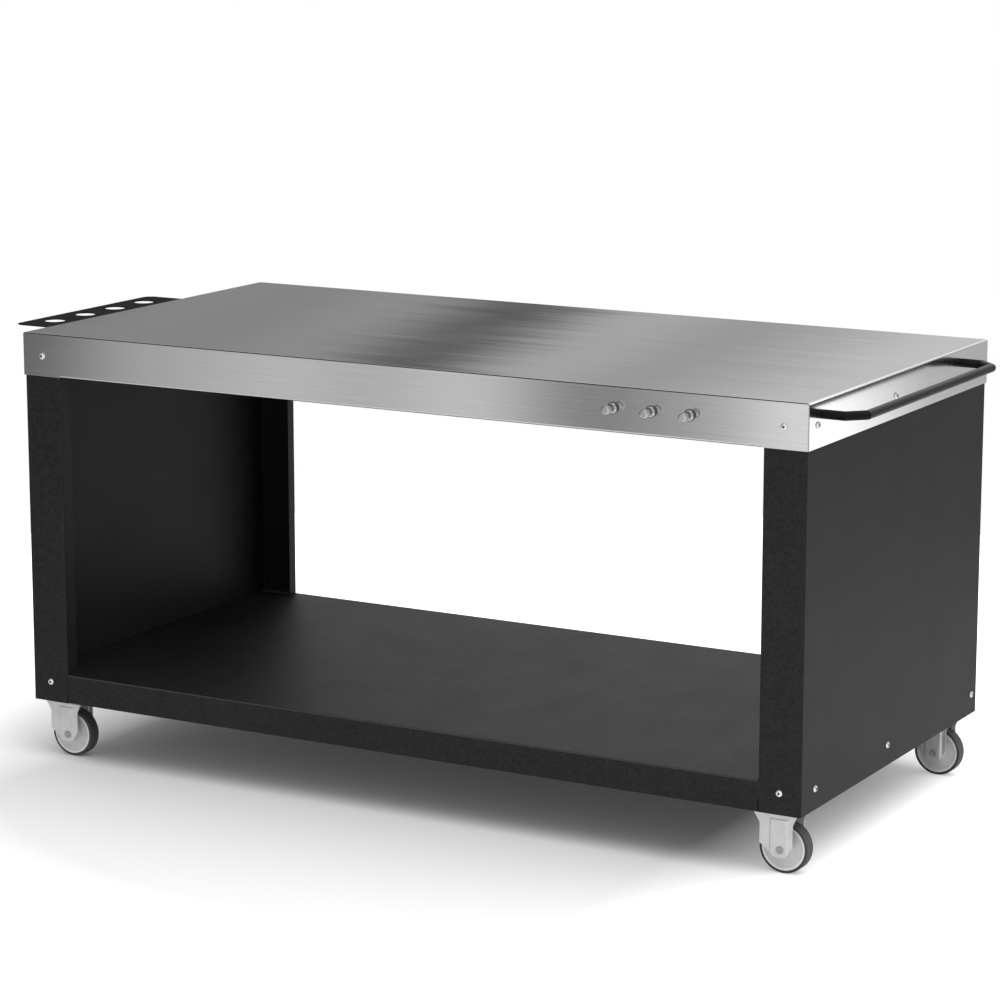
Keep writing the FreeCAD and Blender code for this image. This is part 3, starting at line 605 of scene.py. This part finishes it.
def turned_pieces(name, profile, seats, slot, body="root", replaces=(), steps=48, random_turn=0.0, seed=0,
                  finish=None):
    """Spin a profile of (radius, height, hexagon) in millimetres and stand one on each seat."""
    outline = [(radius * MM, 0, height * MM) for radius, height, _ in profile]
    shape = put_in_scene(name + "_profile", points_mesh(
        name + "_profile", outline, "hexagon", "FLOAT", [hexagon for _, _, hexagon in profile]))
    piece = put_in_scene(name, points_mesh(
        name, [place for place, _ in seats], "outward", "FLOAT_VECTOR", [way for _, way in seats]))
    modifier = piece.modifiers.new("lathe", "NODES")
    modifier.node_group = LATHE
    wanted = {"Profile": shape, "Steps": steps, "Random turn": random_turn, "Seed": seed,
              "Finish": FINISHES[finish or slot]}
    for socket in LATHE.interface.items_tree:
        if socket.name in wanted:
            modifier[socket.identifier] = wanted[socket.name]
    made_plain(piece)
    bpy.data.objects.remove(shape)
    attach(piece, body)
    if replaces:
        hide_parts(*replaces)


def made_plain(piece):
    """Turn what the modifier makes into the piece's own mesh, closed, facing outwards."""
    bpy.context.view_layer.update()
    graph = bpy.context.evaluated_depsgraph_get()
    mesh = bpy.data.meshes.new_from_object(piece.evaluated_get(graph), preserve_all_data_layers=True,
                                           depsgraph=graph)
    piece.modifiers.clear()
    work = bmesh.new()
    work.from_mesh(mesh)
    bmesh.ops.remove_doubles(work, verts=work.verts, dist=MERGE_REACH)
    bmesh.ops.dissolve_degenerate(work, edges=work.edges, dist=SLIVER)
    bmesh.ops.recalc_face_normals(work, faces=work.faces)
    work.to_mesh(mesh)
    work.free()
    mesh.shade_smooth()
    mesh.set_sharp_from_angle(angle=CREASE)
    piece.data = mesh


# Profiles, in millimetres, as radii and heights along the axis

def rounds(*points):
    """Round stretches of a profile."""
    return [(radius, height, 0) for radius, height in points]


def hexagons(*points):
    """Hexagonal stretches of a profile, whose radius is half the width over the flats."""
    return [(radius, height, 1) for radius, height in points]


def arc(centre, radius, start, end, parts):
    """A round edge of a profile, from one angle to another in degrees."""
    turns = [radians(start + (end - start) * i / parts) for i in range(parts + 1)]
    return rounds(*((centre[0] + radius * cos(turn), centre[1] + radius * sin(turn)) for turn in turns))


def mirrored(half):
    """A section from its half above the middle."""
    return half + [(radius, -height, hexagon) for radius, height, hexagon in reversed(half)]


def closed(half):
    """A ring's section from its half above the middle, back to its first point."""
    return mirrored(half) + half[:1]


def button_head_screw(length):
    """From the bottom of the socket over the dome, and down the thread to the tip."""
    half = SOCKET_FLATS / 2
    floor_h = HEAD_H - SOCKET_DEPTH
    socket = (rounds((0, floor_h - SOCKET_POINT), (half - SOCKET_FLOOR_GAP, floor_h))
              + hexagons((half, floor_h), (half, HEAD_H - SOCKET_FLARE_H))
              + rounds((half + SOCKET_FLARE, HEAD_H), (HEAD_FLAT_R, HEAD_H)))
    turns = [pi / 2 * i / DOME_STEPS for i in range(1, DOME_STEPS + 1)]
    dome = rounds(*((HEAD_FLAT_R + (HEAD_R - HEAD_FLAT_R) * sin(turn),
                     HEAD_RIM_H + (HEAD_H - HEAD_RIM_H) * cos(turn)) for turn in turns))
    under = rounds((HEAD_R, HEAD_BEVEL), (HEAD_R - HEAD_BEVEL, 0), (SCREW_R, 0), (SCREW_R, -PLAIN_SHANK))
    thread = []
    depth = PLAIN_SHANK
    while depth + SCREW_PITCH < length - SCREW_PITCH:
        thread += rounds(*((SCREW_R - cut, -depth - share * SCREW_PITCH) for share, cut in THREAD_FORM))
        depth += SCREW_PITCH
    return socket + dome + under + thread + rounds((SCREW_R - TIP_TAPER, -length), (0, -length))


def hexagon_nut(flats, bore, height):
    """A bevelled nut from its bearing face at the seat down to its far face."""
    edge = flats / 2
    rim = edge * NUT_RIM
    bevel = flats * NUT_BEVEL
    mouth = bore + NUT_MOUTH
    side = rounds((rim, 0)) + hexagons((edge, -bevel), (edge, bevel - height)) + rounds((rim, -height))
    inside = rounds((mouth, -height), (bore, NUT_MOUTH_H - height), (bore, -NUT_MOUTH_H), (mouth, 0))
    return rounds((mouth, 0)) + side + inside


def hook_peg():
    """Round flat head, waisted neck, collar against the apron, plain shank behind."""
    face = rounds((0, PEG_REACH), (PEG_FACE_R, PEG_REACH))
    cheek = arc((PEG_HEAD_R - PEG_CHEEK, PEG_REACH - PEG_CHEEK), PEG_CHEEK, 90, 0, 8)
    back = arc((PEG_HEAD_R - PEG_BACK_EDGE, PEG_HEAD_Z + PEG_BACK_EDGE), PEG_BACK_EDGE, 0, -90, 6)
    neck = rounds(*((PEG_NECK_R + wider, height) for wider, height in PEG_NECK))
    collar = arc((PEG_COLLAR_R - PEG_COLLAR_EDGE, PEG_COLLAR_H - PEG_COLLAR_EDGE), PEG_COLLAR_EDGE, 90, 0, 5)
    foot = rounds((PEG_COLLAR_R, PEG_COLLAR_BEVEL), (PEG_COLLAR_R - PEG_COLLAR_BEVEL, 0), (SCREW_R, 0))
    tip = rounds((SCREW_R, PEG_TIP_H - SCREW_LENGTH), (SCREW_R - PEG_TIP, -SCREW_LENGTH), (0, -SCREW_LENGTH))
    return face + cheek + back + neck + collar + foot + tip


def moulded_wheel():
    """Hub, web and raised rim, with the groove that holds the tyre."""
    bore = rounds((HUB_BORE_R, HUB_HALF - HUB_MOUTH), (HUB_BORE_R + HUB_MOUTH, HUB_HALF))
    hub = arc((HUB_R - HUB_EDGE, HUB_HALF - HUB_EDGE), HUB_EDGE, 90, 0, 4)
    fillet = arc((HUB_R + HUB_FILLET, DISH_HALF + HUB_FILLET), HUB_FILLET, 180, 270, 6)
    slopes = rounds(*DISH_SLOPE, *RIM_SLOPE)
    rim = arc((RIM_R - RIM_EDGE, RIM_HALF - RIM_EDGE), RIM_EDGE, 90, 0, 4)
    groove = rounds((RIM_R, KEY_HALF), (KEY_R, KEY_HALF))
    return closed(bore + hub + fillet + slopes + rim + groove)


def tyre_band():
    """The tread with its round shoulders, and the key that sits in the rim's groove."""
    key = rounds((KEY_R, KEY_HALF), (RIM_R, KEY_HALF))
    side = rounds((RIM_R, TREAD_HALF - TREAD_FOOT), (RIM_R + TREAD_FOOT, TREAD_HALF))
    shoulder = arc((WHEEL_R - TREAD_EDGE, TREAD_HALF - TREAD_EDGE), TREAD_EDGE, 90, 0, 8)
    return closed(key + side + shoulder)


def riveted_axle():
    """The pin between the fork's legs, with a low dimpled head at each end."""
    edge = arc((AXLE_HEAD_R - AXLE_HEAD_EDGE, AXLE_END - AXLE_HEAD_EDGE), AXLE_HEAD_EDGE, 90, 0, 6)
    return mirrored(rounds(*AXLE_DIMPLE) + edge + rounds((AXLE_HEAD_R, AXLE_FACE), (AXLE_R, AXLE_FACE)))


# Seats: a place on the outer face and the way out from it

def front_and_back(x, y, z):
    """Seats at both ends of the front and of the back."""
    return [(Vector((side * x, end * y, z)), Vector((0, end, 0))) for end in (-1, 1) for side in (-1, 1)]


def on_end(side, x, ys, z):
    """Seats on the right end, side 1, or the left end, side -1."""
    return [(Vector((side * x, y, z)), Vector((side, 0, 0))) for y in ys]


def apron_seats():
    """The left end lacks the middle screw, where the rack is."""
    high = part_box("worktop")[1]
    return (front_and_back(APRON_SCREW_X, high.y, APRON_SCREW_Z)
            + on_end(1, high.x, RIGHT_SCREW_Y, END_SCREW_Z) + on_end(-1, high.x, LEFT_SCREW_Y, END_SCREW_Z))


def foot_seats():
    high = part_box("side_casing_right")[1]
    return (front_and_back(FOOT_SCREW_X, high.y, FOOT_SCREW_Z)
            + on_end(1, high.x, FOOT_SCREW_Y, FOOT_SCREW_Z) + on_end(-1, high.x, FOOT_SCREW_Y, FOOT_SCREW_Z))


def rack_seats():
    return on_end(-1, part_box("worktop")[1].x + RACK_SHEET * MM, RACK_SCREW_Y, END_SCREW_Z)


def peg_seats():
    """On the apron, at the middle of each peg."""
    apron_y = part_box("worktop")[0].y
    boxes = [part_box("hook_peg_%d" % number) for number in (1, 2, 3)]
    return [(Vector(((low.x + high.x) / 2, apron_y, (low.z + high.z) / 2)), FRONT) for low, high in boxes]


def behind(seats, front_stack, end_stack):
    """Seats of the nuts, a stack of sheets in millimetres behind the heads' seats."""
    return [(place - way * MM * (end_stack if abs(way.x) > 0.5 else front_stack), way)
            for place, way in seats]


# Screws, nuts, pegs and castors

def fasteners():
    """Screws of the aprons, the casings' feet and the rack."""
    for name, node, seats, length, seed in (
            ("apron_button_screws", "apron_screws", apron_seats(), SCREW_LENGTH, 11),
            ("casing_button_screws", "casing_screws", foot_seats(), SCREW_LENGTH, 23),
            ("rack_button_screws", "tool_rack_screws", rack_seats(), RACK_SCREW_LENGTH, 37)):
        turned_pieces(name, button_head_screw(length), seats, "bright_steel", replaces=(node,),
                      random_turn=2 * pi, seed=seed)


def nuts():
    """Nuts behind the screws and the pegs, and on the castors' stems."""
    small = hexagon_nut(NUT_FLATS, SCREW_R + THREAD_PLAY, NUT_H)
    large = hexagon_nut(STEM_NUT_FLATS, STEM_R + THREAD_PLAY, STEM_NUT_H)
    end_stack = END_GAP + CASING_SHEET
    foot_stack = CASING_SHEET + CHANNEL_SHEET
    stems = [(Vector((x, y, STEM_NUT_Z)) * MM, DOWN) for y in CASTOR_Y.values() for x in CASTOR_X.values()]
    for name, node, nut, seats, seed in (
            ("apron_hexagon_nuts", "apron_nuts", small,
             behind(apron_seats(), FRONT_GAP + CASING_SHEET, end_stack), 41),
            ("casing_hexagon_nuts", "casing_nuts", small, behind(foot_seats(), foot_stack, foot_stack), 43),
            ("tool_rack_hexagon_nuts", "tool_rack_nuts", small,
             behind(rack_seats(), 0, RACK_SHEET + end_stack), 47),
            ("hook_peg_hexagon_nuts", "hook_peg_nuts", small, behind(peg_seats(), TOP_SHEET, 0), 53),
            ("stem_hexagon_nuts", "castor_stem_nuts", large, stems, 59)):
        turned_pieces(name, nut, seats, "zinc", replaces=(node,), random_turn=2 * pi, seed=seed)


def pegs():
    """The three hook pegs on the front apron."""
    for number, seat in enumerate(peg_seats(), 1):
        turned_pieces("turned_peg_%d" % number, hook_peg(), [seat], "stainless_turned",
                      replaces=("hook_peg_%d" % number,), steps=64)


def castors():
    """Wheels, tyres and axles, each on the body that carries it."""
    for corner in CORNERS:
        end, side = corner.split("_")
        seat = [(Vector((CASTOR_X[side] + TRAIL, CASTOR_Y[end], WHEEL_R)) * MM, FRONT)]
        node = "castor_" + corner
        turned_pieces("moulded_wheel_" + corner, moulded_wheel(), seat, "grey_plastic",
                      body="castor_wheel_" + corner, replaces=(node + "_wheel",), steps=96)
        turned_pieces("tyre_band_" + corner, tyre_band(), seat, "tread_rubber",
                      body="castor_wheel_" + corner, replaces=(node + "_tyre",), steps=96)
        turned_pieces("riveted_axle_" + corner, riveted_axle(), seat, "zinc", finish="rivet",
                      body="castor_swivel_" + corner, replaces=(node + "_axle",))


# Studio

def grey_ramp(tree, share, stops):
    """Tones along a share between 0 and 1."""
    node = add(tree, "ShaderNodeValToRGB", {0: share})
    ramp = node.color_ramp
    ramp.interpolation = "EASE"
    while len(ramp.elements) < len(stops):
        ramp.elements.new(0.5)
    for element, (place, tone) in zip(ramp.elements, stops):
        element.position = place
        element.color = (*grey(tone), 1)
    return node.outputs[0]


def background(tree, colour, strength):
    """A glow from all round."""
    return add(tree, "ShaderNodeBackground", {"Color": colour, "Strength": strength}).outputs[0]


def seen(tree, ray):
    """1 for a ray from the camera, also through something clear, and 0 for one that only lights."""
    return calc(tree, "MAXIMUM", ray["Is Camera Ray"], ray["Is Transmission Ray"])


def screens(tree, way):
    """What metal mirrors in each direction: screens before the table, behind it and beside its right end."""
    x, y, z = way
    leaning = calc(tree, "MULTIPLY_ADD", calc(tree, "SUBTRACT", z, SCREEN_LEVEL), SCREEN_LEAN, x)
    behind_it = grey_ramp(tree, between(tree, leaning, 0, 1, -1, 1), SCREENS_BEHIND)
    before_it = grey_ramp(tree, between(tree, x, 0, 1, -1, 1), SCREENS_BEFORE)
    beside_it = grey_ramp(tree, between(tree, y, 0, 1, -1, 1), SCREENS_BESIDE)
    to_behind = between(tree, y, 0, 1, *BEFORE_TO_BEHIND)
    to_right = calc(tree, "MULTIPLY", between(tree, x, 0, 1, *LEFT_TO_RIGHT), to_behind)
    return tint(tree, to_right, tint(tree, to_behind, before_it, behind_it), beside_it)


def screen_strength(tree, way):
    """Dimmer overhead, and nearly dark in the gap between the screens."""
    x, y, z = way
    in_gap = calc(tree, "MULTIPLY", window(tree, y, *GAP_DEEP), between(tree, z, 0, 1, *GAP_RISE))
    in_gap = calc(tree, "MULTIPLY", window(tree, x, *GAP_ACROSS), in_gap)
    return calc(tree, "MULTIPLY", between(tree, z, 1.0, OVERHEAD_TONE, *OVERHEAD),
                between(tree, in_gap, 1.0, GAP_TONE, 0, 1))


def studio_world():
    """White behind everything, an even sky for the light, and screens for what metal mirrors."""
    world = bpy.data.worlds.new("studio")
    tree = empty_tree(world)
    way = axes(tree, add(tree, "ShaderNodeTexCoord").outputs["Generated"])
    ray = add(tree, "ShaderNodeLightPath").outputs
    sky = background(tree, WHITE, SKY_STRENGTH)
    in_metal = background(tree, screens(tree, way), screen_strength(tree, way))
    lit = add(tree, "ShaderNodeMixShader", {0: ray["Is Glossy Ray"], 1: sky, 2: in_metal}).outputs[0]
    white = background(tree, WHITE, 1.0)
    shown = add(tree, "ShaderNodeMixShader", {0: seen(tree, ray), 1: lit, 2: white}).outputs[0]
    add(tree, "ShaderNodeOutputWorld", {"Surface": shown})
    bpy.context.scene.world = world


def pale_floor():
    """Matt and pale, and glowing into the white behind where the table's shadow runs out."""
    material = bpy.data.materials.new("pale_floor")
    tree = empty_tree(material)
    place = add(tree, "ShaderNodeTexCoord").outputs["Object"]
    from_middle = add(tree, "ShaderNodeVectorMath", {0: place}, operation="LENGTH").outputs["Value"]
    x, y, _ = axes(tree, place)
    along = calc(tree, "ABSOLUTE", calc(tree, "SUBTRACT", x, SHADOW_MIDDLE_X))
    all_round = between(tree, from_middle, SHADOW_GLOW, 1.0, *SHADOW_ROUND)
    at_ends = between(tree, along, 0.0, EDGE_GLOW, *SHADOW_ENDS)
    at_back = between(tree, y, 0.0, EDGE_GLOW, *SHADOW_BACK)
    glow_here = calc(tree, "MAXIMUM", all_round, calc(tree, "MAXIMUM", at_ends, at_back))
    ray = add(tree, "ShaderNodeLightPath").outputs
    strength = calc(tree, "MULTIPLY", seen(tree, ray), glow_here)
    matt = add(tree, "ShaderNodeBsdfDiffuse", {"Color": (*grey(FLOOR_TONE), 1)}).outputs[0]
    glow = add(tree, "ShaderNodeEmission", {"Strength": strength}).outputs[0]
    both = add(tree, "ShaderNodeAddShader", {0: matt, 1: glow}).outputs[0]
    add(tree, "ShaderNodeOutputMaterial", {"Surface": both})
    return material


def floor():
    """A round floor that keeps the table's shadow."""
    mesh = bpy.data.meshes.new("floor")
    work = bmesh.new()
    bmesh.ops.create_circle(work, cap_ends=True, segments=FLOOR_CORNERS, radius=FLOOR_RADIUS)
    work.to_mesh(mesh)
    work.free()
    mesh.materials.append(pale_floor())
    put_in_scene("floor", mesh)


def lamp():
    """One wide soft light overhead, a little to the front and the right."""
    light = bpy.data.lights.new("overhead_soft_light", "AREA")
    light.shape = "RECTANGLE"
    light.size, light.size_y = LAMP_SIZE
    light.energy = LAMP_POWER
    overhead = put_in_scene("overhead_soft_light", light)
    overhead.location = LAMP_PLACE
    overhead.rotation_euler = Vector(LAMP_PLACE).to_track_quat("Z", "Y").to_euler()
    overhead.visible_glossy = False


def camera():
    """The photograph's view, from the front right."""
    lens = bpy.data.cameras.new("camera")
    lens.sensor_width = CAMERA_SENSOR
    lens.lens = CAMERA_LENS
    view = put_in_scene("camera", lens)
    view.location = CAMERA_PLACE
    view.rotation_euler = (pi / 2 - CAMERA_PITCH, 0, CAMERA_TURN)
    bpy.context.scene.camera = view


dress_frame()
fasteners()
nuts()
pegs()
castors()
studio_world()
floor()
lamp()
camera()
bpy.context.scene.view_settings.view_transform = "Standard"
